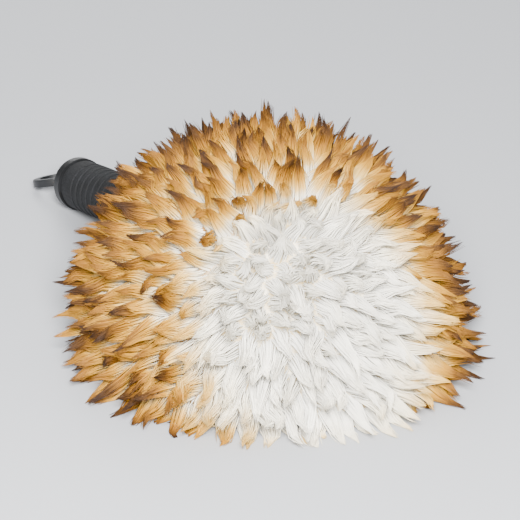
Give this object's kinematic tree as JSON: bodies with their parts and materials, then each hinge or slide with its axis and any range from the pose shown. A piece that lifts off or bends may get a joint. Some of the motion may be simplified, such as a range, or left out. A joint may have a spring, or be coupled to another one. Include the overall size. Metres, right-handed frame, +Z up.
{
  "type": "wheel brush",
  "caption": "Hand brush for washing wheels: a big round head of long wool, crushed flat where it lies, with a locking collar, a ribbed grip and a swinging hang ring.",
  "frame": {"origin": "middle of the brush as it lies, on the surface it lies on", "axes": "+X from the hang ring to the front of the wool, +Z up; the brush is the same on both sides of Y = 0 but for small screws"},
  "size_m": [0.4182, 0.232, 0.146],
  "materials": {
    "end_cap_plastic": "satin",
    "zinc_screw": "satin",
    "steel_pin": "satin",
    "ring_plastic": "satin",
    "handle_plastic": "matte",
    "grip_rubber": "matte",
    "trim_aluminium": "satin",
    "socket_brass": "satin",
    "spring_steel": "satin",
    "seal_rubber": "satin",
    "collar_plastic": "satin",
    "collar_rubber": "matte",
    "hub_plastic": "satin",
    "guard_rubber": "satin",
    "core_plastic": "matte",
    "plug_plastic": "satin",
    "zinc_steel": "satin",
    "tanned_hide": "matte",
    "stitch_thread": "matte",
    "band_steel": "satin",
    "long_wool": "matte"
  },
  "bodies": {
    "handle": {"handle_core": "handle_plastic", "grip_sleeve": "grip_rubber", "grip_trim_ring": "trim_aluminium", "hex_socket_insert": "socket_brass", "collar_snap_ring": "spring_steel", "seal_ring": "seal_rubber", "end_cap": "end_cap_plastic", "end_cap_screw": "zinc_screw", "ring_pin": "steel_pin"},
    "collar": {"lock_collar": "collar_plastic", "collar_grip": "collar_rubber"},
    "head": {"head_hub": "hub_plastic", "splash_guard": "guard_rubber", "core_tube": "core_plastic", "front_plug": "plug_plastic", "tie_rod": "zinc_steel", "rear_nut": "zinc_steel", "front_washer": "zinc_steel", "front_nut": "zinc_steel", "hide_sleeve": "tanned_hide", "hide_nose": "tanned_hide", "seam_stitches": "stitch_thread", "clamp_band": "band_steel", "clamp_screw": "band_steel", "wool_pile": "long_wool"},
    "ring": {"hang_ring": "ring_plastic"}
  },
  "joints": [
    {"name": "collar_turn", "type": "hinge", "parent": "handle", "child": "collar", "pos_m": [-0.16635, 0, 0.01631], "axis": [-0.9835, 0, -0.1808], "range_deg": [0, 720]},
    {"name": "head_slide", "type": "slide", "parent": "handle", "child": "head", "axis": [0.9835, 0, 0.1808], "range_m": [0, 0.008]},
    {"name": "ring_swing", "type": "hinge", "parent": "handle", "child": "ring", "pos_m": [-0.17422, 0, 0.01486], "axis": [0, 1, 0], "range_deg": [-90, 110]}
  ],
  "couplings": [
    {"joint": "collar_turn", "follows": "head_slide", "rad_per_m": 1570.8}
  ]
}
